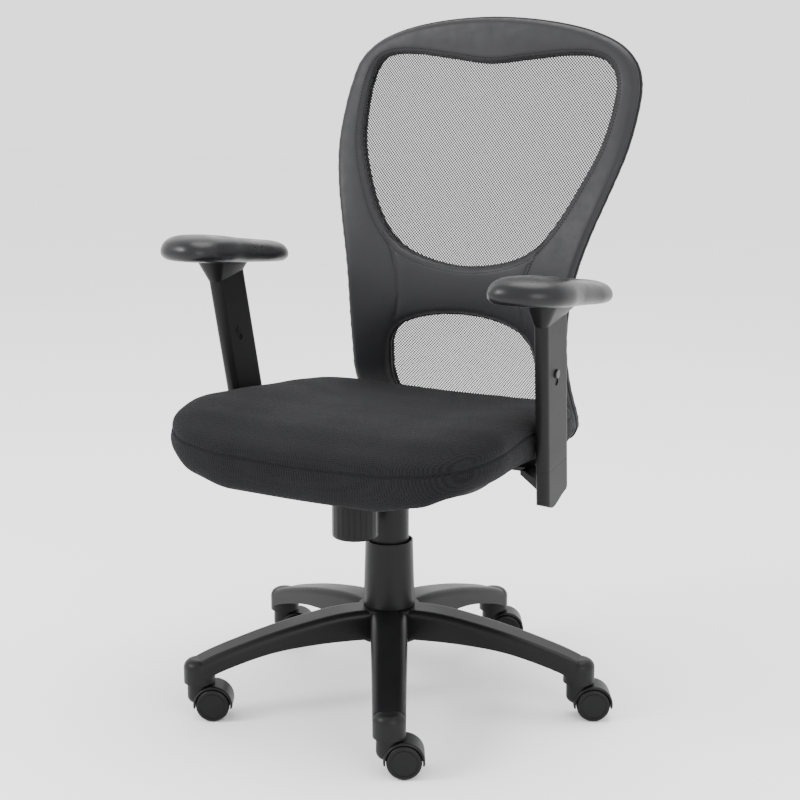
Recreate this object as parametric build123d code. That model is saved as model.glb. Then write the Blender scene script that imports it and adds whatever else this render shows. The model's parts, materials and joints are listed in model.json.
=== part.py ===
"""Swivel office chair with a mesh back, a padded seat and height-adjustable arms.

All lengths are millimetres.  Everything is drawn about the gas column's axis, with the
floor at z = 0, +Z up, the front of the chair facing -Y and +X on the sitter's left.
On export the assembly is moved so that the origin is on the floor under the middle of
the chair's bounding box.
"""
import os
from math import cos, radians, sin

from build123d import *

os.makedirs("parts", exist_ok=True)

# ------------------------------------------------------------------ driving dimensions
COLUMN_X, COLUMN_Y = -5.0, -38.0   # column axis, measured from the middle of the chair

# five-leg base, 640 mm across, and its casters
LEGS = 5
BASE_TURN = 30.0                   # heading of the front leg, from straight ahead
STEM_CIRCLE = 298.0                # radius of the caster stems' circle
BOSS_R, BOSS_Z = 23.4, 56.0        # caster boss at a leg's tip: radius, underside height
HUB_R, HUB_BOTTOM, HUB_TOP = 47.0, 97.0, 146.5
LEG_TOP = [(36, 146), (96, 143.5), (140, 136), (195, 124), (239, 112), (282, 98.5), (298, 92)]
LEG_BOTTOM = [(36, 102), (96, 103), (140, 101.5), (195, 95.5), (239, 85), (282, 71), (298, 64)]
LEG_WIDTH_HUB, LEG_WIDTH_TIP = 57.0, 46.8
LEG_WALL = 4.0

WHEEL_R, WHEEL_W = 25.0, 19.0      # 50 mm twin-wheel caster
CASTER_TRAIL = 20.6                # axle behind the swivel axis
CASTER_HALF = 25.0                 # half of the caster's width
HOOD_R = 29.2
NECK_R = 18.5
AXLE_R, STEM_R, STEM_LENGTH = 3.0, 5.5, 22.0

# gas column
TUBE_R, TUBE_BOTTOM, TUBE_TOP = 25.0, 80.0, 236.0
PRESSURE_R, PRESSURE_BOTTOM, PRESSURE_TOP = 14.0, 112.0, 346.0
ROD_R = 5.0
LIFT = 90.0                        # stroke of the gas spring
SLEEVE_BOTTOM, SLEEVE_TOP = 147.2, 250.0
SLEEVE_R_BOTTOM, SLEEVE_R_TOP = 39.3, 36.3
UPPER_SLEEVE_R, UPPER_SLEEVE_BOTTOM, UPPER_SLEEVE_TOP = 30.2, 152.0, 318.0
RUNNING = 0.05                     # radial clearance of a running fit

# tilt mechanism
PIVOT_Y, PIVOT_Z, PIVOT_R = -40.0, 360.0, 5.0
KNOB_Y, KNOB_R, KNOB_BOTTOM, KNOB_TOP = -100.0, 34.0, 280.0, 333.0
LEVER_Z, LEVER_R, LEVER_PIVOT_X = 359.0, 4.0, -30.0
PLATE_TOP = 385.0                  # top of the seat plate: underside of the seat pan
PAN_THICK = 12.0

# seat cushion
SEAT_PLAN = [(0, -267), (150, -261), (213, -241), (250, -205), (262, -150), (250, -50), (246, 50),
             (239, 130), (214, 185), (165, 217), (100, 226), (0, 228)]
# stations front to back: y, half width, height of the side's lower edge, of the underside's
# middle, of the top's middle and of the side bolster's ridge
SEAT_STATIONS = [(-267, 122, 392, 382, 424, 424), (-258, 173, 385, 370, 446, 446),
                 (-238, 227, 396, 367, 460, 462), (-205, 255, 410, 375, 468, 473),
                 (-150, 264, 412, 386, 468, 477), (-60, 251, 404, 386, 462, 474),
                 (50, 246, 392, 386, 455, 464), (130, 239, 390, 386, 449, 458),
                 (185, 214, 390, 386, 444, 451), (217, 165, 392, 388, 434, 436),
                 (228, 110, 400, 397, 420, 420)]

# screws up into the seat pan: arm brackets, and the bar that carries the back
BRACKET_HOLES = [(s * x, y) for s in (-1, 1) for x in (112, 172) for y in (34, 68)]
BAR_HOLES = [(x, y) for x in (-20, 20) for y in (76, 106)]

# back: front surface Y(x, z) of the upholstery, and its thickness
COVER_DEPTH, FRAME_FRONT, FRAME_BACK = 13.0, 14.3, 28.0

# arms (drawn for the sitter's left)
POST_FOOT = (259.0, 24.0, 345.0)   # where the post's centre line starts
POST_OUT, POST_FORWARD = 0.0508, 0.174     # outward splay and forward lean, per unit of height
POST_DEPTH, POST_THICK = 76.0, 21.0
POST_SEAM, POST_LENGTH = 54.0, 292.0       # along the post: cover/sleeve seam, top of the sleeve
BAR_DEPTH, BAR_THICK, BAR_TOP = 40.0, 8.0, 200.0
ARM_RIGHT_RAISED = 24.0            # the sitter's right arm stands two notches higher
PAD_TILT = 6.0                     # armrest pad, front end up
PAD_THICK = 33.0


def save(shape, name):
    """Move a piece into the row frame and write it as one STEP file."""
    export_step(Pos(COLUMN_X, COLUMN_Y, 0) * shape, f"parts/{name}.step")


def disc(radius, z0, z1, x=0.0, y=0.0):
    """Upright cylinder from z0 to z1."""
    return Pos(x, y, (z0 + z1) / 2) * Cylinder(radius, z1 - z0)


def ring(outer, inner, z0, z1):
    return disc(outer, z0, z1) - disc(inner, z0 - 1, z1 + 1)


def block(x0, x1, y0, y1, z0, z1):
    return Pos((x0 + x1) / 2, (y0 + y1) / 2, (z0 + z1) / 2) * Box(x1 - x0, y1 - y0, z1 - z0)


def turned(piece, angle):
    return Rot(0, 0, angle) * piece


# ------------------------------------------------------------------ five-leg base
def leg_blank(inset, bottom_drop):
    """Leg as a side profile cut by a tapered plan, inset on the top and the sides."""
    top = [(r, z - inset) for r, z in LEG_TOP]
    bottom = [(r, z - bottom_drop) for r, z in LEG_BOTTOM]
    side = Plane.XZ.offset(-60) * make_face([
        Spline(*top), Line(top[-1], bottom[-1]), Spline(*bottom[::-1]), Line(bottom[0], top[0])])
    near, far = LEG_WIDTH_HUB / 2 - inset, LEG_WIDTH_TIP / 2 - inset
    r0, r1 = LEG_TOP[0][0], LEG_TOP[-1][0]
    plan = make_face(Polyline((r0, -near), (r1, -far), (r1, far), (r0, near), close=True))
    return extrude(side, 120) & extrude(plan, 200)


def make_leg():
    leg = leg_blank(0, 0)
    shoulders = leg.edges().filter_by(lambda e: e.geom_type != GeomType.LINE).group_by(Axis.Z)[-1]
    leg = fillet(shoulders, 11)
    boss = disc(BOSS_R, BOSS_Z, 92, x=STEM_CIRCLE)
    boss = fillet(boss.edges().group_by(Axis.Z)[-1], 13)
    hollow = leg_blank(LEG_WALL, 12)
    stops = (50, 95, 140, 185, 230, 270)
    for r0, r1 in zip(stops, stops[1:]):
        for y0, y1 in ((-40, -1.5), (1.5, 40)):
            leg -= hollow & block(r0 + 1.5, r1 - 1.5, y0, y1, 40, 160)
    socket = disc(STEM_R + RUNNING, BOSS_Z - 1, BOSS_Z + STEM_LENGTH + 2, x=STEM_CIRCLE)
    return leg + boss - socket


def make_base():
    hub = disc(HUB_R, HUB_BOTTOM, HUB_TOP)
    base = hub + [turned(make_leg(), -90 + BASE_TURN + i * 360 / LEGS) for i in range(LEGS)]
    return base - disc(TUBE_R + 0.1, 0, 200)


save(make_base(), "base_star")

tube = ring(TUBE_R, TUBE_R - 1.6, TUBE_BOTTOM, TUBE_TOP)
tube += ring(TUBE_R - 1, ROD_R + 4, TUBE_BOTTOM, TUBE_BOTTOM + 3)
save(tube, "outer_tube")
save(ring(TUBE_R - 1.7, PRESSURE_R + RUNNING, 150, TUBE_TOP - 1), "guide_bush")

lower = loft([Pos(0, 0, z) * Circle(r).face() for z, r in
              ((SLEEVE_BOTTOM, SLEEVE_R_BOTTOM), (SLEEVE_TOP, SLEEVE_R_TOP))])
lower_in = loft([Pos(0, 0, z) * Circle(r).face() for z, r in
                 ((SLEEVE_BOTTOM - 1, SLEEVE_R_BOTTOM - 2.5), (SLEEVE_TOP + 1, SLEEVE_R_TOP - 2.5))])
save(lower - lower_in, "lower_sleeve")

# piston rod: foot on the tube's end plate, shoulder above it, piston inside the pressure tube
rod = disc(ROD_R, 74, 250) + disc(8.9, 83.2, 88) + disc(9.5, 75.5, 79.8) + disc(12.5, 238, 250)
save(rod, "piston_rod")

# ------------------------------------------------------------------ moving half of the column
pressure = disc(PRESSURE_R, PRESSURE_BOTTOM, PRESSURE_TOP)
pressure -= disc(12.6, PRESSURE_BOTTOM + 20, PRESSURE_TOP - 20)
pressure -= disc(ROD_R + RUNNING, PRESSURE_BOTTOM - 1, PRESSURE_BOTTOM + 21)
pressure -= disc(3.0 + RUNNING, PRESSURE_TOP - 21, PRESSURE_TOP + 1)
save(pressure, "pressure_tube")
save(disc(3.0, PRESSURE_TOP - 15, PRESSURE_TOP + 8.6), "release_pin")

save(ring(UPPER_SLEEVE_R, UPPER_SLEEVE_R - 2.2, UPPER_SLEEVE_BOTTOM, UPPER_SLEEVE_TOP)
     + ring(UPPER_SLEEVE_R, PRESSURE_R + 0.1, UPPER_SLEEVE_TOP - 3, UPPER_SLEEVE_TOP), "upper_sleeve")


def make_housing():
    """Pressed-steel box with a floor, a column socket and a sloping rim for the recline."""
    side = Plane.YZ.offset(-60) * make_face(Polyline(
        (-140, 336), (-140, 368), (-60, 376), (-28, 374), (92, 344), (92, 320), (-50, 320), (-62, 336),
        close=True))
    body = extrude(side, 120)
    inner = Plane.YZ.offset(-57) * make_face(Polyline(
        (-137, 339), (-137, 390), (89, 390), (89, 323), (-49, 323), (-61, 339), close=True))
    body -= extrude(inner, 114)
    body += disc(21, 320, 344)
    body -= disc(PRESSURE_R + 0.05, 318, 358)
    # pivot bore, lever slot in the right-hand wall, tension bolt hole
    body += [Pos(s * 55.5, PIVOT_Y, PIVOT_Z) * Rot(0, 90, 0) * Cylinder(10, 9) for s in (-1, 1)]
    body -= Pos(0, PIVOT_Y, PIVOT_Z) * Rot(0, 90, 0) * Cylinder(PIVOT_R + RUNNING, 140)
    body -= block(-61, -56, -6.5, 6.5, LEVER_Z - 7, 380)
    body -= disc(5.4, 330, 345, y=KNOB_Y)
    # lever's saddle: two cheeks across the housing, each side of the lever
    for y in (-10.5, 10.5):
        body += block(LEVER_PIVOT_X - 8, LEVER_PIVOT_X + 8, y - 1.5, y + 1.5, 321, 366)
    body -= Pos(LEVER_PIVOT_X, 0, LEVER_Z) * Rot(90, 0, 0) * Cylinder(4.0 + RUNNING, 30)
    return body


save(make_housing(), "mechanism_housing")
shaft = Pos(0, PIVOT_Y, PIVOT_Z) * Rot(0, 90, 0) * Cylinder(PIVOT_R, 150)
save(shaft, "tilt_shaft")

# spring standing on the housing's floor round the tension bolt
coil = Helix(pitch=7.5, height=21.0, radius=16.0)
spring = sweep(Plane(origin=coil @ 0, z_dir=coil % 0) * Circle(2.4), path=coil)
save(Pos(0, KNOB_Y, 342.6) * spring, "tension_spring")

bolt = disc(5.0, 296, 370, y=KNOB_Y)
bolt += disc(19.0, 367.2, 370, y=KNOB_Y)
save(bolt, "tension_bolt")
knob = Pos(0, KNOB_Y, KNOB_BOTTOM) * Cylinder(KNOB_R, KNOB_TOP - KNOB_BOTTOM,
                                               align=(Align.CENTER, Align.CENTER, Align.MIN))
knob = fillet(knob.edges().group_by(Axis.Z)[0], 3.5)
knob = chamfer(knob.edges().group_by(Axis.Z)[-1], 1.0)
for i in range(24):
    a = radians(i * 15)
    knob -= disc(1.1, KNOB_BOTTOM + 6, KNOB_TOP - 4,
                 x=(KNOB_R + 0.5) * cos(a), y=KNOB_Y + (KNOB_R + 0.5) * sin(a))
knob -= disc(5.0, 296, 340, y=KNOB_Y)
knob -= disc(27, 312, 340, y=KNOB_Y)
save(knob, "tension_knob")

# lift lever: a rod that slides through a pivoting bush, with a paddle at the outer end
bush = Pos(LEVER_PIVOT_X, 0, LEVER_Z) * Rot(90, 0, 0) * Cylinder(4.0, 24)
bush += block(LEVER_PIVOT_X - 7, LEVER_PIVOT_X + 7, -8, 8, LEVER_Z - 8, LEVER_Z + 8)
bush -= Pos(-93, 0, LEVER_Z) * Rot(0, 90, 0) * Cylinder(LEVER_R + RUNNING, 250)
path = Polyline((8, 0, LEVER_Z), (-104, 0, LEVER_Z), (-146, 0, LEVER_Z - 16), (-190, 0, LEVER_Z - 16))
path = fillet(path.vertices().sort_by(Axis.X)[1:3], 14)
lever_rod = sweep(Plane(origin=(8, 0, LEVER_Z), z_dir=(-1, 0, 0)) * Circle(LEVER_R), path=path)
save(bush, "lever_bush")
save(lever_rod, "lever_rod")
paddle = block(-204, -151, -13, 13, LEVER_Z - 22, LEVER_Z - 11)
paddle = fillet(paddle.edges().filter_by(Axis.Z), 8)
paddle = fillet(paddle.edges().group_by(Axis.Z)[-1] + paddle.edges().group_by(Axis.Z)[0], 2.5)
paddle -= Pos(-170, 0, LEVER_Z - 16) * Rot(0, 90, 0) * Cylinder(LEVER_R + 0.02, 40.2)
save(paddle, "lever_paddle")

# ------------------------------------------------------------------ seat
def make_seat_plate():
    top = block(-74, 74, -124, 118, PLATE_TOP - 3, PLATE_TOP)
    ears = block(62, 65, PIVOT_Y - 16, PIVOT_Y + 16, PIVOT_Z - 12, PLATE_TOP - 1)
    ears += block(-65, -62, PIVOT_Y - 16, PIVOT_Y + 16, PIVOT_Z - 12, PLATE_TOP - 1)
    flanges = block(71, 74, -124, 118, PLATE_TOP - 12, PLATE_TOP - 1)
    flanges += block(-74, -71, -124, 118, PLATE_TOP - 12, PLATE_TOP - 1)
    body = top + ears + flanges
    body -= Pos(0, PIVOT_Y, PIVOT_Z) * Rot(0, 90, 0) * Cylinder(PIVOT_R + RUNNING, 200)
    # cut-outs over the spring, over the lever and for the arm bars
    body -= disc(21, 340, 390, y=KNOB_Y) + block(-75, -70, -22, 22, 340, PLATE_TOP - 3.1)
    for x, y in BAR_HOLES:
        body -= disc(3.2, 370, 390, x=x, y=y)
    return body


save(make_seat_plate(), "seat_plate")


def seat_outline(inset, z):
    """Rounded seat plan at one height: wide front corners, narrower beside the arms."""
    pts = [(x * (1 - inset / 262), (y + 20) * (1 - inset / 247) - 20) for x, y in SEAT_PLAN]
    return Pos(0, 0, z) * make_face([
        Spline(*pts, tangents=((1, 0), (-1, 0))),
        Spline(*[(-x, y) for x, y in pts], tangents=((-1, 0), (1, 0)))])


pan = extrude(seat_outline(46, PLATE_TOP + 0.2), PAN_THICK)
for x, y in BRACKET_HOLES + BAR_HOLES:
    pan -= disc(3.05, 380, 395, x=x, y=y)
save(pan, "seat_pan")


def seat_section(y, half, low, under, top, ridge):
    """Cross-section of the cushion: hollowed top between two side bolsters."""
    right = [(half - 12, low), (half, (low + ridge) / 2 + 4), (half - 9, ridge - 9), (half - 36, ridge),
             (half * 0.45, top + (ridge - top) * 0.3), (0, top)]
    pts = [(-x, z) for x, z in right[:-1]] + right[::-1]
    return Plane.XZ.offset(-y) * make_face([
        Spline(*pts), ThreePointArc((half - 12, low), (0, under), (12 - half, low))])


cushion = loft([seat_section(*station) for station in SEAT_STATIONS])
cushion -= extrude(seat_outline(45.5, 340), PLATE_TOP + PAN_THICK + 0.5 - 340)
save(cushion, "seat_cushion")

# ------------------------------------------------------------------ back
def back_y(x, z):
    """Front surface of the back: lumbar bulge, backward lean, wings curving forward."""
    h = (z - 750) / 1000
    lean = 256.7 + 290.6 * h + 442 * h ** 2 - 1970 * h ** 3
    bend = max(-1.25, min(0.1, -0.41 + 2.93 * h)) * (x / 1000) ** 2 * 1000
    return lean + bend


def back_slab(front, rear):
    """Curved slab between two depths behind the front surface."""
    sections = []
    for z in (330, 430, 530, 630, 730, 830, 930, 1060):
        w = 300
        zc = min(max(z, 390), 1030)
        y_mid, y_side = back_y(0, zc), back_y(w, zc)
        y_side = y_mid + (y_side - y_mid) * 0.9
        sections.append(Pos(0, 0, z) * make_face([
            ThreePointArc((-w, y_side + front), (0, y_mid + front), (w, y_side + front)),
            Line((w, y_side + front), (w, y_side + rear)),
            ThreePointArc((w, y_side + rear), (0, y_mid + rear), (-w, y_side + rear)),
            Line((-w, y_side + rear), (-w, y_side + front))]))
    return loft(sections)


OUTER = [(0, 1026), (100, 1019), (174, 1003), (220, 982), (245, 956), (256, 922), (258, 878),
         (253, 822), (237, 760), (218, 700), (203, 645), (194, 590), (190, 510), (193, 450),
         (192, 405), (176, 374), (150, 366)]
WINDOW_TOP = [(0, 956), (69, 963), (138, 970), (180, 968), (205, 957), (219, 930), (221, 890),
              (213, 832), (194, 781), (160, 715), (127, 675), (85, 652), (0, 638)]
WINDOW_LOW = [(0, 563), (45, 560), (85, 551), (112, 538), (127, 518), (134, 480), (137, 445),
              (133, 420), (112, 408), (0, 406)]


def outline(points, grow=0.0):
    """Symmetric closed outline in the X-Z plane from its right half, top to bottom,
    with each point moved outward by grow."""
    moved = []
    for i, (x, z) in enumerate(points):
        before, after = points[max(i - 1, 0)], points[min(i + 1, len(points) - 1)]
        run = Vector(after[0] - before[0], after[1] - before[1])
        if i in (0, len(points) - 1):
            run = Vector(1 if i == 0 else -1, 0)
        run = run.normalized() * grow
        moved.append((x - run.Y, z + run.X))
    edges = [Spline(*moved, tangents=((1, 0), (-1, 0))),
             Spline(*[(-x, z) for x, z in moved], tangents=((-1, 0), (1, 0)))]
    if moved[-1][0]:
        edges.append(Line(moved[-1], (-moved[-1][0], moved[-1][1])))
    return extrude(Plane.XZ * make_face(edges), 600, both=True)


cover_slab = back_slab(0, COVER_DEPTH)
frame_slab = back_slab(FRAME_FRONT, FRAME_BACK)
outer = outline(OUTER)
outer_in = outline(OUTER, -4)
notch = block(-39, 39, 0, 400, 340, 384.5)          # lets the back bar pass under the frame
window_top, window_low = outline(WINDOW_TOP), outline(WINDOW_LOW)

save((cover_slab & outer) - window_top - window_low - notch, "back_cover")
holes = [(-22, 395), (22, 395)]
frame = (frame_slab & outer_in) - window_top - window_low - notch
for x, z in holes:
    frame -= Pos(x, 310, z) * Rot(90, 0, 0) * Cylinder(3.05, 60)
save(frame, "back_frame")

mesh_slab = back_slab(COVER_DEPTH + 0.1, FRAME_FRONT - 0.1)
save(mesh_slab & outline(WINDOW_TOP, 6), "mesh_upper")
save(mesh_slab & outline(WINDOW_LOW, 6), "mesh_lower")

# flat steel bar from the seat plate back and up behind the frame's foot
rear = back_y(0, 395) + FRAME_BACK + 2.5
bar_top = PLATE_TOP - 3.2
bar = Plane.YZ.offset(-35) * make_face(Polyline(
    (62, bar_top - 6), (rear + 6, bar_top - 6), (rear + 6, 408), (rear, 408), (rear, bar_top),
    (62, bar_top), close=True))
bar = extrude(bar, 70)
bend = bar.edges().filter_by(Axis.X).filter_by(lambda e: abs(e.center().Y - rear) < 7 and e.center().Z < 384)
bar = fillet(bend.sort_by(Axis.Z)[:1], 9)
for x, z in holes:
    bar -= Pos(x, rear, z) * Rot(90, 0, 0) * Cylinder(3.2, 60)
for x, y in BAR_HOLES:
    bar -= disc(3.2, 370, 390, x=x, y=y)
save(bar, "back_bracket")

# ------------------------------------------------------------------ arms
post_dir = Vector(POST_OUT, -POST_FORWARD, 1).normalized()
post_across = (Vector(0, 1, 0) - post_dir * post_dir.Y).normalized()
POST = Plane(origin=POST_FOOT, x_dir=post_across.cross(post_dir), z_dir=post_dir)
# POST's own X points outward through the post's thin side, Y backward along its depth


def post_section(grow, t):
    depth, thick = POST_DEPTH + 2 * grow, POST_THICK + 2 * grow
    return POST * Pos(0, 0, t) * RectangleRounded(thick, depth, thick / 2 - 0.6)


def post_prism(grow, t0, t1):
    return extrude(post_section(grow, t0), t1 - t0, dir=post_dir)


def bar_cavity(t0, t1, gap=0.5):
    return POST * Pos(0, 0, (t0 + t1) / 2) * Box(BAR_THICK + 2 * gap, BAR_DEPTH + 2 * gap, t1 - t0)


def make_arm_bracket():
    """Flat steel bar under the seat pan, bent up inside the post."""
    flat = block(92, 222, 20, 82, PLATE_TOP - 6, PLATE_TOP)
    foot = Vector(*POST_FOOT) + post_dir * 14
    slope = Plane.XZ * make_face(Polyline(
        (218, PLATE_TOP - 6), (218, PLATE_TOP), (224, PLATE_TOP), (foot.X + 4, foot.Z + 4),
        (foot.X + 4, foot.Z - 7), (foot.X - 4, foot.Z - 7), close=True))
    slope = Pos(0, foot.Y + 20, 0) * extrude(slope, 40)
    post = POST * Pos(0, 0, (8 + BAR_TOP) / 2) * Box(BAR_THICK, BAR_DEPTH, BAR_TOP - 8)
    body = flat + slope + post
    for x, y in BRACKET_HOLES:
        body -= disc(3.2, 370, 390, x=x, y=y)
    return body


arm_bracket = make_arm_bracket()

foot_side = Plane.YZ * make_face([
    Line((-60, 60), (-60, 4)), Line((-60, 4), (-38, 4)),
    Spline((-38, 4), (-16, -6), (14, 2), (38, 32), tangents=((0.8, -0.6), (0.1, 1))),
    Line((38, 32), (60, 60)), Line((60, 60), (-60, 60))])
arm_cover = post_prism(0, -10, POST_SEAM - 0.3) & (POST * extrude(foot_side, 40, both=True))
arm_cover -= bar_cavity(-20, 80)
arm_cover -= POST * (Pos(-10, 0, 9) * Box(18, BAR_DEPTH + 3, 48))


def make_arm_sleeve():
    sleeve = post_prism(0, POST_SEAM, POST_LENGTH - 18)
    top_plane = Pos(276, -28, 637) * Rot(-PAD_TILT, 0, 0)
    seat = (top_plane * RectangleRounded(46, 100, 22)).face()
    collar = loft([post_section(0, POST_LENGTH - 18).face(), seat])
    sleeve += collar
    sleeve -= bar_cavity(POST_SEAM - 1, 268)
    # push-button bore in the outer face, its finger recess, and the blind boss inside
    sleeve -= POST * Pos(0, -4, 196) * Rot(0, 90, 0) * Pos(0, 0, 7) * Cylinder(6.4 + RUNNING, 14)
    sleeve -= POST * Pos(POST_THICK / 2 + 1.5, -4, 184) * Rot(0, 90, 0) * Cylinder(5.5, 6)
    sleeve -= POST * Pos(-POST_THICK / 2 - 1.5, -4, 176) * Rot(0, 90, 0) * Cylinder(5.0, 6)
    sleeve += POST * Pos(-POST_THICK / 2 + 0.5, -4, 187) * Rot(0, 90, 0) * Cylinder(6.2, 3)
    return sleeve


arm_sleeve = make_arm_sleeve()
arm_button = POST * Pos(0, -4, 196) * Rot(0, 90, 0) * Pos(0, 0, 10.2) * Cylinder(6.4, 6.4)
arm_button = fillet(arm_button.edges().filter_by(GeomType.CIRCLE), 1.2)

PAD_OUTLINE = [(0, -148), (34, -137), (56, -95), (53, -50), (46, -12), (48, 40), (42, 88), (23, 113),
               (0, 120)]


def pad_section(inset, z):
    """Armrest outline, drawn in by a margin all round, at one height."""
    pts = [(x * (1 - inset / 52), (y + 14) * (1 - inset / 134) - 14) for x, y in PAD_OUTLINE]
    return Pos(0, 0, z) * make_face([
        Spline(*pts, tangents=((1, 0), (-1, 0))),
        Spline(*[(-x, y) for x, y in pts], tangents=((-1, 0), (1, 0)))])


arm_pad = loft([pad_section(inset, z) for inset, z in
                ((10, 0), (4, 3), (0.5, 9), (0, 16), (2.5, 23), (9, 29.5), (20, PAD_THICK))])
arm_pad = Pos(276, -28, 637.3) * Rot(-PAD_TILT, 0, 0) * arm_pad

right = Vector(-post_dir.X, post_dir.Y, post_dir.Z) * ARM_RIGHT_RAISED
for name, piece, slides in (("bracket", arm_bracket, False), ("cover", arm_cover, False),
                            ("sleeve", arm_sleeve, True), ("button", arm_button, True),
                            ("pad", arm_pad, True)):
    save(piece, f"arm_{name}_left")
    twin = mirror(piece, about=Plane.YZ)
    save(Pos(right) * twin if slides else twin, f"arm_{name}_right")

# ------------------------------------------------------------------ screws
def screw(length):
    """M6 pan-head screw, head downward, tip at z = 0."""
    return disc(3.0, -length, 0) + disc(5.5, -length - 3.5, -length)


screws = Part() + [Pos(x, y, 394) * screw(394 - PLATE_TOP + 6.2) for x, y in BRACKET_HOLES]
screws += [Pos(x, y, 394) * screw(394 - PLATE_TOP + 9.4) for x, y in BAR_HOLES]
screws += [Pos(x, rear - 14.5, z) * Rot(90, 0, 0) * screw(20.7) for x, z in holes]
save(screws, "m6_screws")

# ------------------------------------------------------------------ casters
def make_caster_body():
    """Neck round the stem and a hood over both wheels, with a web between them."""
    axle = Pos(CASTER_TRAIL, 0, WHEEL_R) * Rot(90, 0, 0)
    hood = axle * Cylinder(HOOD_R, 2 * CASTER_HALF - 5)
    hood = fillet(hood.edges().filter_by(GeomType.CIRCLE), 4)
    hood &= block(-40, 60, -40, 40, WHEEL_R - 4.5, 80)
    neck = disc(NECK_R, 23.5, BOSS_Z - 1.0)
    neck = fillet(neck.edges().group_by(Axis.Z)[0], 11)
    body = hood + neck + (axle * Cylinder(14, 9))
    pocket = axle * Cylinder(WHEEL_R + 1.3, 80) - axle * Cylinder(WHEEL_R + 2, 9)
    body -= pocket
    body -= axle * Cylinder(AXLE_R, 80)
    return body - disc(STEM_R, 47, 80)


def make_wheel(side):
    """Wheel with a rounded tread, a dished outer face and a raised rim line."""
    wheel = Cylinder(WHEEL_R, WHEEL_W)
    wheel = fillet(wheel.edges().group_by(Axis.Z)[-1], 4.5)
    wheel = fillet(wheel.edges().group_by(Axis.Z)[0], 1.5)
    groove = Pos(0, 0, WHEEL_W / 2) * (Cylinder(19.2, 1.6) - Cylinder(18.0, 1.6))
    wheel -= groove
    wheel -= Pos(0, 0, -3.4) * Cylinder(AXLE_R + RUNNING, WHEEL_W)
    wheel -= Pos(0, 0, -WHEEL_W / 2) * (Cylinder(20, 12) - Cylinder(7, 12))
    middle = 5.0 + WHEEL_W / 2
    return Pos(CASTER_TRAIL, side * middle, WHEEL_R) * Rot(-90 * side, 0, 0) * wheel


caster_body = make_caster_body()
caster_axle = Pos(CASTER_TRAIL, 0, WHEEL_R) * Rot(90, 0, 0) * Cylinder(AXLE_R, 40)
caster_stem = disc(STEM_R, 47, BOSS_Z + STEM_LENGTH)
caster_stem -= ring(STEM_R + 1, STEM_R - 0.6, BOSS_Z + 13, BOSS_Z + 16)
for i in range(LEGS):
    heading = radians(-90 + BASE_TURN + i * 360 / LEGS)
    spot = Pos(STEM_CIRCLE * cos(heading), STEM_CIRCLE * sin(heading), 0) * Rot(0, 0, BASE_TURN)
    save(spot * caster_body, f"caster_{i + 1}_body")
    save(spot * caster_stem, f"caster_{i + 1}_stem")
    save(spot * caster_axle, f"caster_{i + 1}_axle")
    save(spot * make_wheel(-1), f"caster_{i + 1}_wheel_near")
    save(spot * make_wheel(1), f"caster_{i + 1}_wheel_far")
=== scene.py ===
"""Looks of the swivel office chair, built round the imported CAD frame.

Lengths in the tables are millimetres from the gas column's axis and the floor; place()
turns them into metres in the row frame.
"""
import json
from math import atan2, cos, degrees, hypot, pi, radians, sin, sqrt

import bmesh
import bpy
import numpy as np
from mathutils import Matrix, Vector
from mathutils.geometry import delaunay_2d_cdt


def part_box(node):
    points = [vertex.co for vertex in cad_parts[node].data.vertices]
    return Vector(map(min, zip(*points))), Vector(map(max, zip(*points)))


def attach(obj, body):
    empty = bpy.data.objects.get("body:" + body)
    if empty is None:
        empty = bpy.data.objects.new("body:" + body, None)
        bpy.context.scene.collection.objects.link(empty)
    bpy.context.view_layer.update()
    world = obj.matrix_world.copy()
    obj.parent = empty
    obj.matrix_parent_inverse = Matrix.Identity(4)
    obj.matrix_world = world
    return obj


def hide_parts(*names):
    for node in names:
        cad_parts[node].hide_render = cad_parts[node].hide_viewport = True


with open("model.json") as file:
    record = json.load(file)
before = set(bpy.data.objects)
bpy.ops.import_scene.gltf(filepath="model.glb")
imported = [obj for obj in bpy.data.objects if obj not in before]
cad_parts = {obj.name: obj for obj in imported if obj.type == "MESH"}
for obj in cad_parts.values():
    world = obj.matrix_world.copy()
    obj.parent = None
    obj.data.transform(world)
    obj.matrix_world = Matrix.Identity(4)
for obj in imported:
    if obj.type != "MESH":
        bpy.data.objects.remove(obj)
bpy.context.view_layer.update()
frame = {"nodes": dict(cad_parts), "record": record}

tube_lo, tube_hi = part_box("outer_tube")
AXIS_X, AXIS_Y = (tube_lo.x + tube_hi.x) / 2, (tube_lo.y + tube_hi.y) / 2


def place(x, y, z):
    """Millimetres from the column's axis, to metres in the row frame."""
    return Vector((AXIS_X + x / 1000, AXIS_Y + y / 1000, z / 1000))


def lookup(table, t):
    """Eased lookup in rows (t, value, ...): the other values at t."""
    keys = [row[0] for row in table]
    t = min(max(t, keys[0]), keys[-1])
    i = min(int(np.searchsorted(keys, t, side="right")), len(keys) - 1) - 1
    a, b = table[i], table[i + 1]
    f = (t - a[0]) / (b[0] - a[0])
    f = f * f * (3 - 2 * f) * 0.5 + f * 0.5
    return [p + (q - p) * f for p, q in zip(a[1:], b[1:])]


def smooth_step(a, b, t):
    """0 before a, 1 after b, eased between."""
    t = min(max((t - a) / (b - a), 0.0), 1.0)
    return t * t * (3 - 2 * t)


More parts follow.
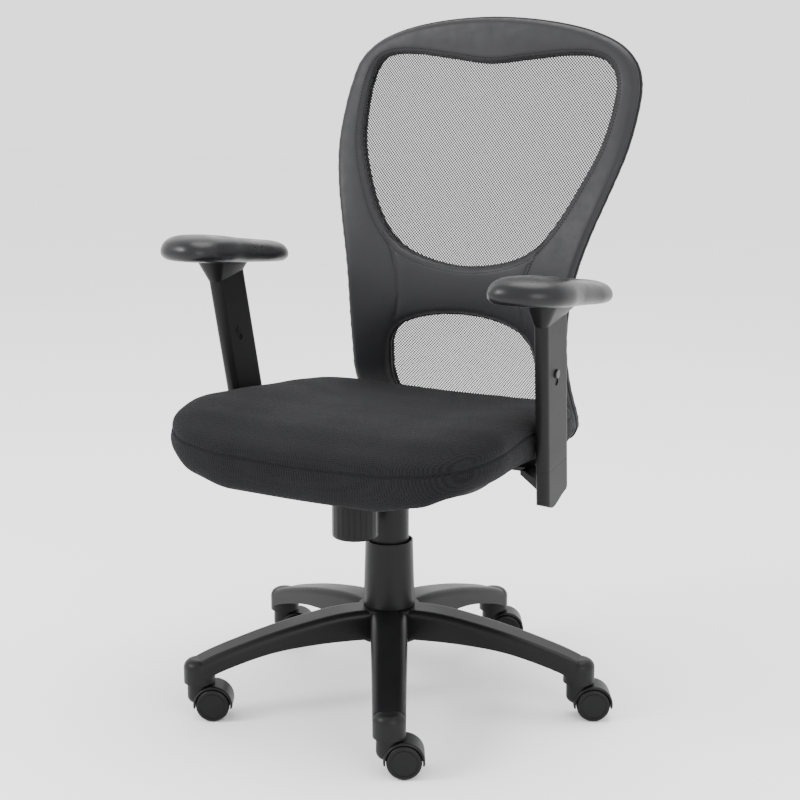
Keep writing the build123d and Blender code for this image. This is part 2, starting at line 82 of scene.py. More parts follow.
def spline_loop(points, spacing):
    """Evenly spaced points on a closed Catmull-Rom curve."""
    pts = [np.array(p, float) for p in points]
    n, fine = len(pts), []
    for i in range(n):
        p0, p1, p2, p3 = pts[i - 1], pts[i], pts[(i + 1) % n], pts[(i + 2) % n]
        a, b, c = (max(np.linalg.norm(q - p), 1e-6) ** 0.5
                   for p, q in ((p0, p1), (p1, p2), (p2, p3)))
        m1 = (p2 - p1) + b * ((p1 - p0) / a - (p2 - p0) / (a + b))
        m2 = (p2 - p1) + b * ((p3 - p2) / c - (p3 - p1) / (b + c))
        for k in range(24):
            t = k / 24
            fine.append((2 * t ** 3 - 3 * t ** 2 + 1) * p1 + (t ** 3 - 2 * t ** 2 + t) * m1
                        + (-2 * t ** 3 + 3 * t ** 2) * p2 + (t ** 3 - t ** 2) * m2)
    return resample(fine, spacing, closed=True)


def resample(points, spacing, closed=False):
    """Evenly spaced points along a polyline."""
    pts = np.array(list(points) + ([points[0]] if closed else []))
    run = np.r_[0, np.cumsum(np.linalg.norm(np.diff(pts, axis=0), axis=1))]
    count = max(int(round(run[-1] / spacing)), 2)
    at = np.linspace(0, run[-1], count + 1)
    out = np.c_[[np.interp(at, run, pts[:, k]) for k in range(pts.shape[1])]].T
    return out[:-1] if closed else out


def mirrored(half):
    """Closed outline from its right half, top to bottom."""
    return half + [(-x, z) for x, z in half[::-1] if x > 0.5]


def mesh_object(name, verts, faces, subdivide=0):
    """Smooth-shaded object with its faces turned outward, subdivided if asked."""
    mesh = bpy.data.meshes.new(name)
    mesh.from_pydata([tuple(v) for v in verts], [], faces)
    bm = bmesh.new()
    bm.from_mesh(mesh)
    bmesh.ops.recalc_face_normals(bm, faces=bm.faces)
    bm.to_mesh(mesh)
    bm.free()
    mesh.shade_smooth()
    obj = bpy.data.objects.new(name, mesh)
    bpy.context.scene.collection.objects.link(obj)
    if subdivide:
        smooth = obj.modifiers.new("smooth", "SUBSURF")
        smooth.levels = smooth.render_levels = subdivide
    return obj


def ring_stack(name, rings, subdivide=1):
    """Closed skin over rings of equal count, each end closed by a fan."""
    n = len(rings[0])
    verts = [p for ring in rings for p in ring]
    faces = [(k * n + i, k * n + (i + 1) % n, (k + 1) * n + (i + 1) % n, (k + 1) * n + i)
             for k in range(len(rings) - 1) for i in range(n)]
    for k in (0, len(rings) - 1):
        verts.append(sum((Vector(p) for p in rings[k]), Vector()) / n)
        faces += [(k * n + i, k * n + (i + 1) % n, len(verts) - 1) for i in range(n)]
    return mesh_object(name, verts, faces, subdivide)


def tube(name, path, radius, closed=False, sides=8):
    """Round tube along points, for piping and stitch lines."""
    path = [Vector(p) for p in path]
    n = len(path)
    rings = []
    for i, p in enumerate(path):
        before = path[i - 1] if closed or i else path[i]
        after = path[(i + 1) % n] if closed or i < n - 1 else path[i]
        run = (after - before).normalized()
        side = run.cross(Vector((0, 1, 0))).normalized()
        up = side.cross(run)
        rings.append([p + radius * (cos(2 * pi * k / sides) * side + sin(2 * pi * k / sides) * up)
                      for k in range(sides)])
    verts = [p for ring in rings for p in ring]
    spans = n if closed else n - 1
    faces = [(i * sides + k, i * sides + (k + 1) % sides,
              (i + 1) % n * sides + (k + 1) % sides, (i + 1) % n * sides + k)
             for i in range(spans) for k in range(sides)]
    if not closed:
        faces += [tuple(range(sides)), tuple(range((n - 1) * sides, n * sides))]
    return mesh_object(name, verts, faces)


# ------------------------------------------------------------------ materials
def new_material(name):
    """Material, its nodes and links, its shader, and object coordinates to texture by."""
    mat = bpy.data.materials.new(name)
    mat.use_nodes = True
    nodes, links = mat.node_tree.nodes, mat.node_tree.links
    shader = nodes["Principled BSDF"]
    where = nodes.new("ShaderNodeTexCoord").outputs["Object"]
    return mat, nodes, links, shader, where


def noise(nodes, links, where, scale, detail=3.0, rough=0.55):
    tex = nodes.new("ShaderNodeTexNoise")
    tex.inputs["Scale"].default_value = scale
    tex.inputs["Detail"].default_value = detail
    tex.inputs["Roughness"].default_value = rough
    links.new(where, tex.inputs["Vector"])
    return tex.outputs["Fac"]


def math(nodes, links, kind, a, b):
    """Math node of two sockets or numbers."""
    node = nodes.new("ShaderNodeMath")
    node.operation = kind
    for socket, value in zip(node.inputs, (a, b)):
        if isinstance(value, (int, float)):
            socket.default_value = value
        else:
            links.new(value, socket)
    return node.outputs[0]


def ramp(nodes, links, fac, stops):
    """Colour ramp with two stops (position, grey or colour)."""
    node = nodes.new("ShaderNodeValToRGB")
    links.new(fac, node.inputs["Fac"])
    for element, (pos, col) in zip(node.color_ramp.elements, stops):
        element.position = pos
        element.color = (*col, 1) if hasattr(col, "__len__") else (col, col, col, 1)
    return node.outputs["Color"]


def remap(nodes, links, value, low, high, to_low, to_high):
    node = nodes.new("ShaderNodeMapRange")
    links.new(value, node.inputs["Value"])
    limits = {"From Min": low, "From Max": high, "To Min": to_low, "To Max": to_high}
    for socket, limit in limits.items():
        node.inputs[socket].default_value = limit
    return node.outputs["Result"]


def bump(nodes, links, shader, height, strength, distance):
    node = nodes.new("ShaderNodeBump")
    node.inputs["Strength"].default_value = strength
    node.inputs["Distance"].default_value = distance
    links.new(height, node.inputs["Height"])
    links.new(node.outputs["Normal"], shader.inputs["Normal"])


def tone(col, factor):
    return tuple(c * factor for c in col)


def plastic(name, col, rough, grain=1400.0, depth=0.00008, spread=0.18, gloss=0.16, coat=0.0):
    """Moulded or painted surface: fine grain, broad colour drift, rubbed patches."""
    mat, nodes, links, shader, where = new_material(name)
    broad = noise(nodes, links, where, 9.0)
    fine = noise(nodes, links, where, grain, 2.0)
    links.new(ramp(nodes, links, broad, ((0.3, tone(col, 1 - spread)), (0.7, tone(col, 1 + spread)))),
              shader.inputs["Base Color"])
    links.new(remap(nodes, links, broad, 0.25, 0.75, rough - 0.05, rough + 0.06),
              shader.inputs["Roughness"])
    shader.inputs["Specular IOR Level"].default_value = gloss
    shader.inputs["Coat Weight"].default_value = coat
    shader.inputs["Coat Roughness"].default_value = 0.25
    bump(nodes, links, shader, fine, 0.5, depth)
    return mat


def brushed(name, col, rough):
    """Ground steel with fine streaks along its length."""
    mat, nodes, links, shader, where = new_material(name)
    stretch = nodes.new("ShaderNodeMapping")
    stretch.inputs["Scale"].default_value = (1.0, 1.0, 0.06)
    links.new(where, stretch.inputs["Vector"])
    streak = noise(nodes, links, stretch.outputs["Vector"], 1500.0, 4.0)
    links.new(ramp(nodes, links, streak, ((0.3, tone(col, 0.8)), (0.7, col))),
              shader.inputs["Base Color"])
    links.new(remap(nodes, links, streak, 0.3, 0.7, rough - 0.06, rough + 0.08),
              shader.inputs["Roughness"])
    shader.inputs["Metallic"].default_value = 1.0
    bump(nodes, links, shader, streak, 0.3, 0.00003)
    return mat


def spacer_fabric(name, dark, light, pitch):
    """Knitted spacer mesh: rows of small dark cells between lighter yarns."""
    mat, nodes, links, shader, where = new_material(name)
    turn = nodes.new("ShaderNodeMapping")
    turn.inputs["Rotation"].default_value = (radians(8), radians(12), radians(45))
    links.new(where, turn.inputs["Vector"])
    cells = nodes.new("ShaderNodeTexVoronoi")
    cells.inputs["Scale"].default_value = 1 / pitch
    cells.inputs["Randomness"].default_value = 0.08
    links.new(turn.outputs["Vector"], cells.inputs["Vector"])
    height = remap(nodes, links, cells.outputs["Distance"], 0.12, 0.52, 0.0, 1.0)
    wear = noise(nodes, links, where, 14.0)
    worn = remap(nodes, links, wear, 0.3, 0.7, 0.75, 1.0)
    mixed = math(nodes, links, "MULTIPLY", height, worn)
    links.new(ramp(nodes, links, mixed, ((0.05, dark), (0.95, light))), shader.inputs["Base Color"])
    shader.inputs["Roughness"].default_value = 0.85
    shader.inputs["Specular IOR Level"].default_value = 0.1
    shader.inputs["Sheen Weight"].default_value = 0.02
    shader.inputs["Sheen Roughness"].default_value = 0.5
    fuzz = noise(nodes, links, where, 2600.0, 2.0)
    total = math(nodes, links, "ADD", height, math(nodes, links, "MULTIPLY", fuzz, 0.35))
    bump(nodes, links, shader, total, 0.9, 0.0009)
    return mat


def leathercloth(name, col, rough):
    """Smooth low-sheen coated cloth with a pebbled grain and faint large creases."""
    mat, nodes, links, shader, where = new_material(name)
    pebble = nodes.new("ShaderNodeTexVoronoi")
    pebble.inputs["Scale"].default_value = 900.0
    links.new(where, pebble.inputs["Vector"])
    broad = noise(nodes, links, where, 6.0)
    crease = noise(nodes, links, where, 45.0, 5.0, 0.6)
    links.new(ramp(nodes, links, broad, ((0.3, tone(col, 0.86)), (0.7, tone(col, 1.12)))),
              shader.inputs["Base Color"])
    links.new(remap(nodes, links, crease, 0.3, 0.7, rough - 0.05, rough + 0.07),
              shader.inputs["Roughness"])
    shader.inputs["Specular IOR Level"].default_value = 0.24
    pebbled = math(nodes, links, "MULTIPLY", pebble.outputs["Distance"], 0.35)
    total = math(nodes, links, "ADD", pebbled, math(nodes, links, "MULTIPLY", crease, 1.2))
    bump(nodes, links, shader, total, 0.35, 0.0005)
    return mat


def woven(name, dark, light, pitch, depth=0.0005):
    """Plain coarse weave seen on every side: crossing threads in a turned frame."""
    mat, nodes, links, shader, where = new_material(name)
    turn = nodes.new("ShaderNodeMapping")
    turn.inputs["Rotation"].default_value = (radians(45), radians(20), radians(35))
    links.new(where, turn.inputs["Vector"])
    split = nodes.new("ShaderNodeSeparateXYZ")
    links.new(turn.outputs["Vector"], split.inputs[0])
    waves = [math(nodes, links, "SINE",
                  math(nodes, links, "MULTIPLY", split.outputs[k], 2 * pi / pitch), 0.0)
             for k in range(3)]
    product = math(nodes, links, "ADD", math(nodes, links, "MULTIPLY", waves[0], waves[1]), waves[2])
    height = remap(nodes, links, product, -1.5, 1.5, 0.0, 1.0)
    links.new(ramp(nodes, links, height, ((0.1, dark), (0.9, light))), shader.inputs["Base Color"])
    shader.inputs["Roughness"].default_value = 0.8
    shader.inputs["Specular IOR Level"].default_value = 0.2
    shader.inputs["Sheen Weight"].default_value = 0.05
    bump(nodes, links, shader, height, 0.7, depth)
    return mat


def open_mesh(name, col, pitch, cover):
    """Open weave: two families of slanting strands with holes between them."""
    mat, nodes, links, shader, where = new_material(name)
    split = nodes.new("ShaderNodeSeparateXYZ")
    links.new(where, split.inputs[0])
    x, z = split.outputs["X"], split.outputs["Z"]
    strands = []
    for kind in ("ADD", "SUBTRACT"):
        phase = math(nodes, links, "MULTIPLY", math(nodes, links, kind, x, z),
                     2 * pi / (pitch * sqrt(2)))
        strands.append(math(nodes, links, "SINE", phase, 0.0))
    top = math(nodes, links, "MAXIMUM", strands[0], math(nodes, links, "SUBTRACT", strands[1], 0.25))
    alpha = remap(nodes, links, top, cover - 0.25, cover + 0.25, 0.0, 1.0)
    links.new(alpha, shader.inputs["Alpha"])
    links.new(ramp(nodes, links, strands[0], ((0.2, tone(col, 0.6)), (0.9, col))),
              shader.inputs["Base Color"])
    shader.inputs["Roughness"].default_value = 0.6
    shader.inputs["Specular IOR Level"].default_value = 0.2
    bump(nodes, links, shader, top, 0.6, 0.0006)
    return mat


def plywood(name):
    """Black-stained ply with the grain running front to back."""
    mat, nodes, links, shader, where = new_material(name)
    stretch = nodes.new("ShaderNodeMapping")
    stretch.inputs["Scale"].default_value = (8.0, 0.7, 160.0)
    links.new(where, stretch.inputs["Vector"])
    grain = noise(nodes, links, stretch.outputs["Vector"], 12.0, 6.0)
    links.new(ramp(nodes, links, grain, ((0.3, (0.006, 0.006, 0.006)), (0.7, (0.014, 0.013, 0.013)))),
              shader.inputs["Base Color"])
    shader.inputs["Roughness"].default_value = 0.7
    bump(nodes, links, shader, grain, 0.4, 0.0003)
    return mat


MATERIALS = {
    "nylon_base": plastic("nylon_base", (0.0055, 0.0055, 0.006), 0.40),
    "black_steel": plastic("black_steel", (0.005, 0.005, 0.0055), 0.36, 900.0, 0.00005,
                           coat=0.1),
    "bush_plastic": plastic("bush_plastic", (0.50, 0.50, 0.47), 0.5),
    "sleeve_plastic": plastic("sleeve_plastic", (0.005, 0.005, 0.0055), 0.38),
    "ground_steel": brushed("ground_steel", (0.55, 0.55, 0.56), 0.3),
    "spring_steel": brushed("spring_steel", (0.16, 0.16, 0.17), 0.38),
    "knob_plastic": plastic("knob_plastic", (0.005, 0.005, 0.0055), 0.38),
    "plywood": plywood("plywood"),
    "seat_fabric": spacer_fabric("seat_fabric", (0.0008, 0.0008, 0.0009),
                                 (0.010, 0.010, 0.0115), 0.0028),
    "frame_plastic": woven("frame_plastic", (0.003, 0.003, 0.0035), (0.014, 0.014, 0.0155),
                           0.0018),
    "back_cover": leathercloth("back_cover", (0.013, 0.013, 0.0145), 0.46),
    "back_mesh": open_mesh("back_mesh", (0.006, 0.006, 0.0066), 0.0034, 0.08),
    "arm_plastic": plastic("arm_plastic", (0.005, 0.005, 0.0055), 0.42),
    "button_plastic": plastic("button_plastic", (0.008, 0.008, 0.009), 0.25, gloss=0.4),
    "pad_rubber": leathercloth("pad_rubber", (0.008, 0.008, 0.009), 0.30),
    "caster_plastic": plastic("caster_plastic", (0.005, 0.005, 0.0055), 0.42),
    "wheel_plastic": plastic("wheel_plastic", (0.0045, 0.0045, 0.005), 0.40),
}
PIPING = leathercloth("piping", (0.004, 0.004, 0.005), 0.5)

for part in frame["record"]["subparts"]:
    node = frame["nodes"][part["node"]]
    for material_slot in node.material_slots:
        material_slot.material = MATERIALS[part["material_slot"]]


def dress(obj, material, body, slot, *nodes):
    """Give a piece its material and body, and hide the CAD nodes it stands for; the slot is not used."""
    obj.data.materials.append(material)
    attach(obj, body)
    if nodes:
        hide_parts(*nodes)
    return obj


# ------------------------------------------------------------------ seat cushion
SEAT_PLAN = [(0, -267), (75, -266), (150, -261), (213, -243), (252, -207), (265, -150), (259, -100),
             (251, -50), (248, 0), (246, 50), (239, 130), (214, 185), (165, 217), (100, 226), (0, 228)]
SEAT_CENTRE = -20.0
# by angle from the front: underside's edge, seam, width of the rolled top edge
SEAT_EDGE = [(0, 368, 420, 78), (28, 369, 423, 74), (40, 380, 428, 66), (48, 394, 434, 58),
             (56, 404, 441, 50), (66, 407, 446, 44), (90, 400, 445, 42), (120, 393, 438, 42),
             (150, 392, 426, 40), (180, 392, 423, 40)]
# by distance from front to back: middle of the top, rise of the side bolsters
SEAT_TOP = [(-235, 458, 2), (-205, 465, 5), (-150, 467, 9), (-60, 462, 12), (50, 455, 10),
            (130, 449, 9), (190, 446, 6), (228, 442, 2)]
PAN_INSET, PAN_CLEAR = 45.0, 397.9


def seat_top(x, y):
    """Height of the sitting surface, with the soft unevenness of worn foam."""
    top, rise = lookup(SEAT_TOP, y)
    bolster = smooth_step(95, 205, abs(x)) * rise
    worn = 0.7 * sin(x / 31.0 + 1.3) * sin(y / 43.0) + 0.5 * sin((x + y) / 19.0) * sin((x - 2 * y) / 57.0)
    return top + bolster + worn * (1 - abs(x) / 300)


def make_seat():
    """Cushion as rings: recess over the pan, side, seam groove, rolled edge, top."""
    loop = spline_loop(mirrored([(x, -y) for x, y in SEAT_PLAN]), 6.0)
    loop = [(x, -y) for x, y in loop]
    reach = [hypot(x, y - SEAT_CENTRE) for x, y in loop]
    edge = [lookup(SEAT_EDGE, degrees(atan2(abs(x), SEAT_CENTRE - y))) for x, y in loop]

    def ring(inset, height):
        """One ring: inset and height are functions of the edge row and the plan point."""
        out = []
        for (x, y), r, (low, seam, roll) in zip(loop, reach, edge):
            k = 1 - inset(low, seam, roll) / r
            px, py = x * k, SEAT_CENTRE + (y - SEAT_CENTRE) * k
            out.append(place(px, py, height(low, seam, roll, px, py)))
        return out

    rings = [ring(lambda *e: 150, lambda *e: PAN_CLEAR),
             ring(lambda *e: PAN_INSET + 1, lambda *e: PAN_CLEAR),
             ring(lambda *e: PAN_INSET, lambda low, *e: min(low + 2, PAN_CLEAR - 1))]
    for inset, up in ((38, -0.5), (22, 0.0), (10, 4.0), (3.5, 11.0), (0.5, 20.0)):
        rings.append(ring(lambda *e, v=inset: v, lambda low, *e, v=up: low + v))
    rings.append(ring(lambda *e: 0, lambda low, seam, *e: low + (seam - low) * 0.66))
    for inset, up in ((0.8, -9), (1.5, -4.5), (2.2, -2.2), (4.6, -0.8), (4.8, 0.8), (2.9, 2.4),
                      (2.6, 4.5)):
        rings.append(ring(lambda *e, v=inset: v, lambda low, seam, *e, v=up: seam + v))
    for t in (0.05, 0.12, 0.22, 0.34, 0.48, 0.64, 0.82, 1.0):
        rings.append(ring(
            lambda low, seam, roll, v=t: 3 + (roll - 3) * v * v ** 0.25,
            lambda low, seam, roll, x, y, v=t: seam + 5 + (seat_top(x, y) - seam - 5)
            * sqrt(1 - (1 - v * v ** 0.25) ** 2)))
    for inset in (90, 105, 120, 136, 152, 168, 184, 200, 214, 226):
        rings.append(ring(lambda low, seam, roll, v=inset: roll + (v - 78) * (226 - roll) / 148 * 0.98,
                          lambda low, seam, roll, x, y: seat_top(x, y)))
    return dress(ring_stack("seat_upholstery", rings), MATERIALS["seat_fabric"],
                 "seat_and_back", "seat_fabric", "seat_cushion")


seat = make_seat()

# ------------------------------------------------------------------ back
OUTER = [(0, 1026), (100, 1019), (174, 1003), (220, 982), (245, 956), (256, 922), (258, 878),
         (253, 822), (237, 760), (218, 700), (203, 645), (194, 590), (190, 510), (193, 450),
         (192, 405), (176, 374), (150, 366), (100, 365.5), (0, 365.5)]
WINDOW_TOP = [(0, 956), (69, 963), (138, 970), (180, 968), (205, 957), (219, 930), (221, 890),
              (213, 832), (194, 781), (160, 715), (127, 675), (85, 652), (0, 638)]
WINDOW_LOW = [(0, 563), (45, 560), (85, 551), (112, 538), (127, 518), (134, 480), (137, 445),
              (133, 420), (112, 408), (60, 406), (0, 406)]
SEAM = [(138, 686), (122, 655), (111, 620), (108, 588), (112, 562), (119, 540)]
COVER_DEPTH, BAND_FRONT, BAND_BACK = 13.0, 13.3, 28.0


def back_y(x, z):
    """Front surface of the back: lumbar bulge, backward lean, wings curving forward."""
    z = min(max(z, 390), 1030)
    h = (z - 750) / 1000
    lean = 256.7 + 290.6 * h + 442 * h ** 2 - 1970 * h ** 3
    bend = max(-1.25, min(0.1, -0.41 + 2.93 * h)) * (x / 1000) ** 2 * 1000
    return lean + bend * 0.96


def shifted(loop, distance):
    """Closed clockwise outline moved outward by a distance."""
    loop = np.array(loop)
    run = np.roll(loop, -1, axis=0) - np.roll(loop, 1, axis=0)
    run /= np.linalg.norm(run, axis=1)[:, None]
    return loop + distance * np.c_[-run[:, 1], run[:, 0]]


def inside(points, loop):
    """Which points lie inside a closed outline."""
    points, loop = np.array(points), np.array(loop)
    hit = np.zeros(len(points), bool)
    for (xa, za), (xb, zb) in zip(loop, np.roll(loop, -1, axis=0)):
        crosses = (za > points[:, 1]) != (zb > points[:, 1])
        if crosses.any():
            at = xa + (points[:, 1] - za) * (xb - xa) / (zb - za if zb != za else 1e-9)
            hit ^= crosses & (points[:, 0] < at)
    return hit


def distance_to(points, path):
    """Distance from each point to a dense line of points."""
    points, path = np.array(points), np.array(path)
    return np.sqrt(((points[:, None, :] - path[None, :, :]) ** 2).sum(2)).min(1)


def flat_region(outer, windows, extra=(), steps=(0, 1.5, 4, 8, 13), grid=11.0):
    """Points and triangles of an outline with openings, finer near its edges."""
    points, edges = [], []
    for line, grow in [(outer, -1)] + [(w, 1) for w in windows]:
        for step in steps:
            ring = shifted(line, grow * step)
            start = len(points)
            points += [tuple(p) for p in ring]
            edges += [(start + i, start + (i + 1) % len(ring)) for i in range(len(ring))]
    lo, hi = np.array(outer).min(0), np.array(outer).max(0)
    rows = np.arange(lo[1], hi[1], grid * 0.87)
    mesh_pts = np.array([(x + (grid / 2 if k % 2 else 0), z) for k, z in enumerate(rows)
                         for x in np.arange(lo[0], hi[0], grid)])
    near = distance_to(mesh_pts, outer)
    for w in windows:
        near = np.minimum(near, distance_to(mesh_pts, w))
    keep = inside(mesh_pts, outer) & (near > steps[-1] + 4)
    for w in windows:
        keep &= ~inside(mesh_pts, w)
    mesh_pts = mesh_pts[keep]
    if len(extra):
        mesh_pts = mesh_pts[distance_to(mesh_pts, extra) > 6]
        far = distance_to(extra, outer)
        for w in windows:
            far = np.minimum(far, distance_to(extra, w))
        extra = [tuple(p) for p, d in zip(extra, far) if d > steps[-1] + 1.5]
    points += [tuple(p) for p in mesh_pts] + list(extra)
    out, _, tris, _, _, _ = delaunay_2d_cdt([Vector(p) for p in points], edges, [], 0, 1e-5)
    middles = np.array([sum((out[i] for i in t), Vector((0, 0))) / len(t) for t in tris])
    good = inside(middles, outer)
    for w in windows:
        good &= ~inside(middles, w)
    used = sorted({i for t, g in zip(tris, good) if g for i in t})
    index = {v: k for k, v in enumerate(used)}
    faces = [[index[i] for i in t] for t, g in zip(tris, good) if g]
    return np.array([tuple(p) for p in out])[used], faces


def boundary_of(faces):
    """Edges used by one face only, in that face's direction."""
    seen = dict.fromkeys((a, b) for f in faces for a, b in zip(f, f[1:] + f[:1]))
    return [(a, b) for a, b in seen if (b, a) not in seen]


def slab(name, outer, windows, front, rear, extra=()):
    """Closed slab following the back's curve; front and rear give depth by edge distance."""
    pts, faces = flat_region(outer, windows, extra)
    gap = distance_to(pts, resample(outer, 1.5, closed=True))
    for w in windows:
        gap = np.minimum(gap, distance_to(pts, resample(w, 1.5, closed=True)))
    n = len(pts)
    verts = [place(x, back_y(x, z) + front(d, x, z), z) for (x, z), d in zip(pts, gap)]
    verts += [place(x, back_y(x, z) + rear(d, x, z), z) for (x, z), d in zip(pts, gap)]
    all_faces = faces + [[i + n for i in f[::-1]] for f in faces]
    all_faces += [[b, a, a + n, b + n] for a, b in boundary_of(faces)]
    return mesh_object(name, verts, all_faces)


def rounded(radius, d):
    """Set-back of a quarter-round edge at a distance in from the edge."""
    t = max(0.0, 1 - d / radius)
    return radius * (1 - sqrt(max(0.0, 1 - t * t)))


outer_loop = spline_loop(mirrored(OUTER), 7.0)
top_loop = spline_loop(mirrored(WINDOW_TOP), 7.0)
low_loop = spline_loop(mirrored(WINDOW_LOW), 7.0)
seam_right = resample(SEAM, 4.0)
seams = [seam_right, seam_right * np.array([-1, 1])]
seam_points = []
for line in seams:
    run = np.gradient(line, axis=0)
    run /= np.linalg.norm(run, axis=1)[:, None]
    for off in (-4.5, -2.0, 0.0, 2.0, 4.5):
        seam_points += [tuple(p) for p in line + off * np.c_[-run[:, 1], run[:, 0]]]
seam_dense = np.vstack([resample(line, 1.0) for line in seams])


def cover_front(d, x, z):
    """Depth of the upholstery's face: rounded edge, padded crown, seam grooves."""
    crown = -3.0 * (1 - np.exp(-d / 14.0))
    groove = 2.0 * np.exp(-(np.hypot(*(seam_dense - (x, z)).T).min() / 2.4) ** 2)
    return rounded(8.0, d) + crown + groove


cover = slab("back_upholstery", outer_loop, (top_loop, low_loop), cover_front,
             lambda d, x, z: COVER_DEPTH, seam_points)
dress(cover, MATERIALS["back_cover"], "seat_and_back", "back_cover", "back_cover")
band_loop = shifted(outer_loop, -2.0)
band = slab("back_band", band_loop, (shifted(top_loop, 1.5), shifted(low_loop, 1.5)),
            lambda d, x, z: BAND_FRONT, lambda d, x, z: BAND_BACK - rounded(6.0, d) * 0.8)
dress(band, MATERIALS["frame_plastic"], "seat_and_back", "frame_plastic", "back_frame")


def on_back(loop, depth):
    """Outline laid on the back's curve at a depth."""
    return [place(x, back_y(x, z) + depth, z) for x, z in loop]


for name, loop, depth, radius in (
        ("piping_outer", outer_loop, COVER_DEPTH - 1.0, 2.2),
        ("piping_upper", shifted(top_loop, 0.6), 7.5, 2.6),
        ("piping_lower", shifted(low_loop, 0.6), 7.5, 2.6)):
    fine = resample(loop, 5.0, closed=True)
    dress(tube(name, on_back(fine, depth), radius / 1000, closed=True), PIPING, "seat_and_back", "back_cover")

# stitches beside the piping and along the seams: length, thickness, and how deep the ends sink
STITCH_PITCH, STITCH_HALF, STITCH_R, STITCH_WIDE, STITCH_SIDES = 5.2, 1.7, 0.4, 0.45, 6
for name, line, closed in (
        ("stitch_upper", shifted(top_loop, 8.0), True), ("stitch_lower", shifted(low_loop, 8.0), True),
        ("stitch_left", seams[0] + (3.4, 0), False), ("stitch_right", seams[1] - (3.4, 0), False)):
    dots = resample(line, STITCH_PITCH, closed=closed)
    run = np.gradient(dots, axis=0)
    run /= np.linalg.norm(run, axis=1)[:, None]
    verts, faces = [], []
    for (x, z), (dx, dz) in zip(dots, run):
        y = back_y(x, z) + cover_front(8.0 if closed else 30.0, x, z) - 0.15
        base = len(verts)
        for along, lift in ((-STITCH_HALF, 0.15), (0.0, -0.35), (STITCH_HALF, 0.15)):
            for k in range(STITCH_SIDES):
                turn = 2 * pi * k / STITCH_SIDES
                verts.append(place(x + dx * along - dz * STITCH_WIDE * cos(turn),
                                   y + lift + STITCH_R * sin(turn),
                                   z + dz * along + dx * STITCH_WIDE * cos(turn)))
        for s in (0, STITCH_SIDES):
            faces += [(base + s + k, base + s + (k + 1) % STITCH_SIDES,
                       base + s + STITCH_SIDES + (k + 1) % STITCH_SIDES, base + s + STITCH_SIDES + k)
                      for k in range(STITCH_SIDES)]
        faces += [tuple(base + s + k for k in range(STITCH_SIDES)) for s in (0, 2 * STITCH_SIDES)]
    dress(mesh_object(name, verts, faces), PIPING, "seat_and_back", "back_cover")


def mesh_sheet(name, loop, node):
    """Stretched sheet of open mesh behind a window."""
    pts, faces = flat_region(shifted(loop, 5.0), (), steps=(0, 6), grid=9.0)
    obj = mesh_object(name, on_back(pts, COVER_DEPTH + 0.15), faces)
    dress(obj, MATERIALS["back_mesh"], "seat_and_back", "back_mesh", node)


mesh_sheet("mesh_panel_upper", top_loop, "mesh_upper")
mesh_sheet("mesh_panel_lower", low_loop, "mesh_lower")

# ------------------------------------------------------------------ armrest pads
PAD_OUTLINE = [(-15, -152), (24, -142), (50, -112), (56, -74), (50, -28), (48, 22), (47, 66), (38, 104),
               (15, 124), (-15, 125), (-38, 104), (-47, 64), (-47, 15), (-49, -30), (-55, -78), (-51, -124),
               (-36, -146)]
PAD_TILT = radians(6.0)
PAD_BACK, PAD_DROP = 0.024, 0.003        # set back and down, onto the collar of the post


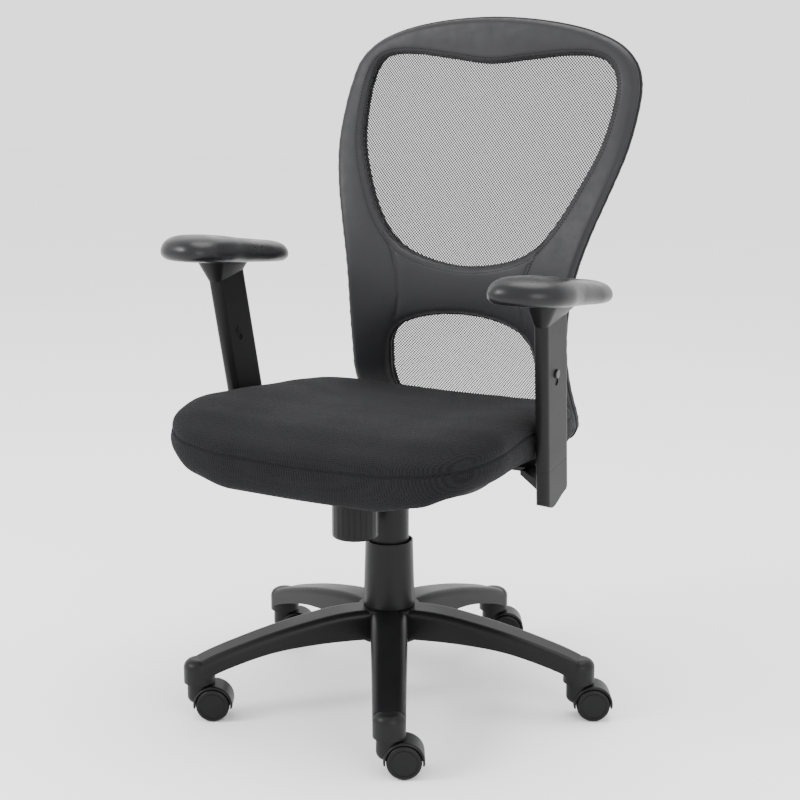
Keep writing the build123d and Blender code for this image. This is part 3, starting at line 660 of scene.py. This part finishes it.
def make_pad(side):
    """Armrest pad: broad front lobe, waist and a narrower, thinner rear."""
    lo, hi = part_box(f"arm_pad_{side}")
    sign = 1 if side == "left" else -1
    outline = spline_loop(PAD_OUTLINE, 6.0)
    rings = []
    for inset, z in ((46, 0.4), (20, 0.2), (11, 0.0), (6, 1.6), (2.2, 5.0), (0.3, 10.0),
                     (0, 16.0), (1.0, 21.5), (3.8, 28.0), (8.5, 33.0), (15, 36.4), (23, 38.4),
                     (32, 39.4), (41, 39.8), (47, 39.8)):
        ring = []
        for x, y in outline:
            k = max(0.03, 1 - inset / 50)
            px, py = x * k, (y + 14) * (1 - inset / (50 + 86 * abs(y + 14) / 134)) - 14
            thick = 1 - 0.18 * smooth_step(-60, 60, py) - 0.10 * smooth_step(100, 150, -py)
            pz = z * thick if z > 5 else z
            ring.append((px, py, pz))
        rings.append(ring)
    local = np.array(rings)
    y = local[..., 1] * cos(PAD_TILT) + local[..., 2] * sin(PAD_TILT)
    z = -local[..., 1] * sin(PAD_TILT) + local[..., 2] * cos(PAD_TILT)
    world = np.stack([(lo.x + hi.x) / 2 + sign * local[..., 0] / 1000, y / 1000, z / 1000], -1)
    middle = (world[..., 1].min() + world[..., 1].max()) / 2
    world[..., 1] += (lo.y + hi.y) / 2 - middle + PAD_BACK
    world[..., 2] += lo.z - world[..., 2].min() - PAD_DROP
    obj = ring_stack(f"armrest_{side}", [[Vector(p) for p in ring] for ring in world])
    dress(obj, MATERIALS["pad_rubber"], f"arm_{side}", "pad_rubber", f"arm_pad_{side}")


for side in ("left", "right"):
    make_pad(side)

# ------------------------------------------------------------------ floor, light, camera
FLOOR_HALF, FLOOR_Z = 9, -0.0005
floor = mesh_object("floor", [(sx * FLOOR_HALF, sy * FLOOR_HALF, FLOOR_Z)
                              for sx, sy in ((-1, -1), (1, -1), (1, 1), (-1, 1))], [(0, 1, 2, 3)])
pale, nodes, links, shader, where = new_material("floor")
links.new(ramp(nodes, links, noise(nodes, links, where, 2.0), ((0.3, 0.965), (0.7, 0.985))),
          shader.inputs["Base Color"])
shader.inputs["Roughness"].default_value = 0.9
floor.data.materials.append(pale)

world = bpy.data.worlds.new("studio")
bpy.context.scene.world = world
world.use_nodes = True
world.node_tree.nodes["Background"].inputs["Color"].default_value = (1, 1, 1, 1)
world.node_tree.nodes["Background"].inputs["Strength"].default_value = 1.9


def area_light(name, where, target, size, power):
    """Round soft light aimed at a point."""
    data = bpy.data.lights.new(name, "AREA")
    data.shape, data.size, data.energy = "DISK", size, power
    lamp = bpy.data.objects.new(name, data)
    bpy.context.scene.collection.objects.link(lamp)
    lamp.location = where
    lamp.rotation_mode = "QUATERNION"
    lamp.rotation_quaternion = (Vector(target) - Vector(where)).to_track_quat("-Z", "Y")


area_light("key", (-2.4, -2.6, 2.6), (0, 0, 0.6), 1.6, 120)
area_light("fill", (2.8, -1.8, 1.6), (0, 0, 0.6), 2.0, 45)
area_light("top", (0.2, 0.6, 3.2), (0, 0, 0.5), 2.2, 70)

camera = bpy.data.cameras.new("camera")
camera.lens, camera.sensor_width, camera.shift_x = 78.46, 36.0, 0.01355
eye = bpy.data.objects.new("camera", camera)
bpy.context.scene.collection.objects.link(eye)
eye.location = place(1276.25, -2210.53, 1018.9)
eye.rotation_euler = (radians(77.78), 0, radians(30))
bpy.context.scene.camera = eye

bpy.context.view_layer.update()
